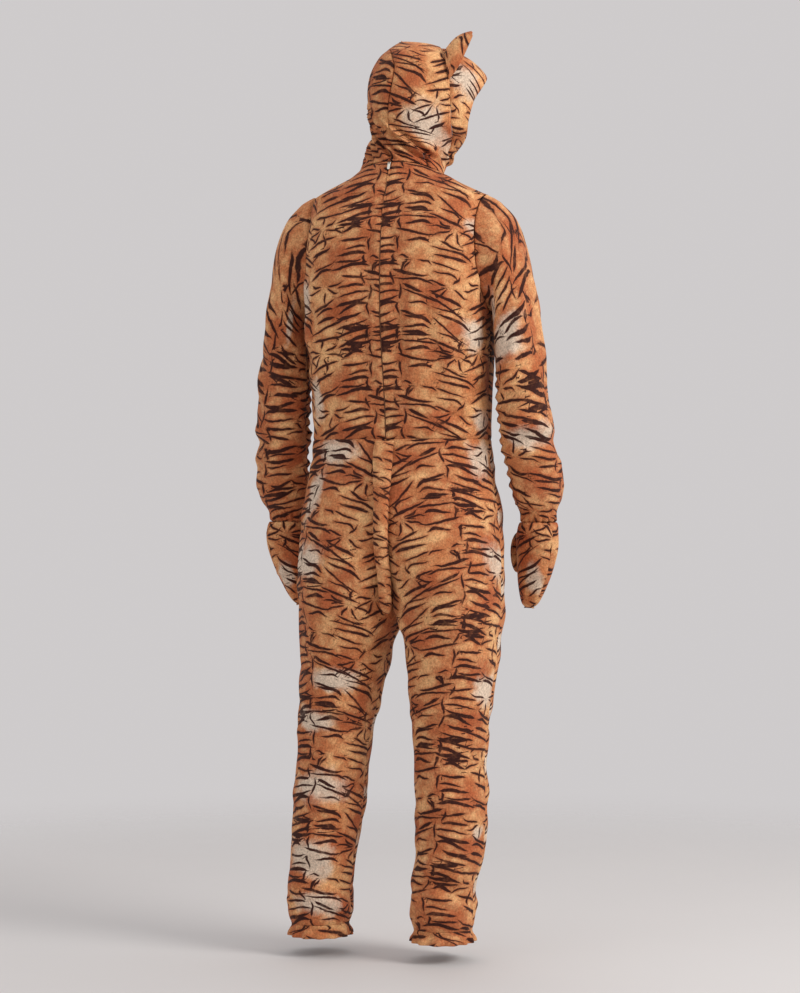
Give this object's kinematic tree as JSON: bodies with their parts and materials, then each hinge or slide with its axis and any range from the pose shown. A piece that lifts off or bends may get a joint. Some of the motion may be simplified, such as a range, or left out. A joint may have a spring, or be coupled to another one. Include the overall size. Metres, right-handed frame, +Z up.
{
  "type": "hooded tiger costume",
  "caption": "Hooded one-piece plush costume with mittens, ears, tail and a centre-back zip, in the hollow form it has when worn.",
  "frame": {"origin": "between the shoulders, where a worn suit hangs from its wearer, 1.5 m above the floor the wearer stands on", "axes": "+Z up, the front faces -Y, the left side lies towards +X"},
  "size_m": [0.6568, 0.2814, 1.8183],
  "materials": {
    "plush_bodice": "short-pile plush, tiger print",
    "plush_leg": "short-pile plush, tiger print",
    "plush_sleeve": "short-pile plush, tiger print",
    "plush_hood": "short-pile plush, tiger print",
    "plush_mitten": "short-pile plush, tiger print",
    "plush_ear": "short-pile plush, tiger print",
    "plush_tail": "short-pile plush, tiger print",
    "plush_hem": "short-pile plush, tiger print",
    "zip_coil": "matte",
    "zip_tab": "satin"
  },
  "bodies": {
    "garment": {"bodice_back_left": "plush_bodice", "bodice_back_right": "plush_bodice", "bodice_front": "plush_bodice", "leg_back_left": "plush_leg", "leg_back_right": "plush_leg", "leg_front_left": "plush_leg", "leg_front_right": "plush_leg", "sleeve_left": "plush_sleeve", "sleeve_right": "plush_sleeve", "hood_back": "plush_hood", "hood_side_left": "plush_hood", "hood_side_right": "plush_hood", "hood_front": "plush_hood", "mitten_palm_left": "plush_mitten", "mitten_back_left": "plush_mitten", "mitten_thumb_left": "plush_mitten", "ear_outer_left": "plush_ear", "ear_inner_left": "plush_ear", "hem_left": "plush_hem", "mitten_palm_right": "plush_mitten", "mitten_back_right": "plush_mitten", "mitten_thumb_right": "plush_mitten", "ear_outer_right": "plush_ear", "ear_inner_right": "plush_ear", "hem_right": "plush_hem", "tail": "plush_tail", "zip_tape": "zip_coil", "zip_slider": "zip_coil", "zip_crown": "zip_coil"},
    "pull_tab": {"zip_pull": "zip_tab"}
  },
  "joints": [
    {"name": "pull_tab_swing", "type": "hinge", "parent": "garment", "child": "pull_tab", "pos_m": [0, 0.08243, 0.09375], "axis": [1, 0, 0], "range_deg": [0, 120]}
  ]
}
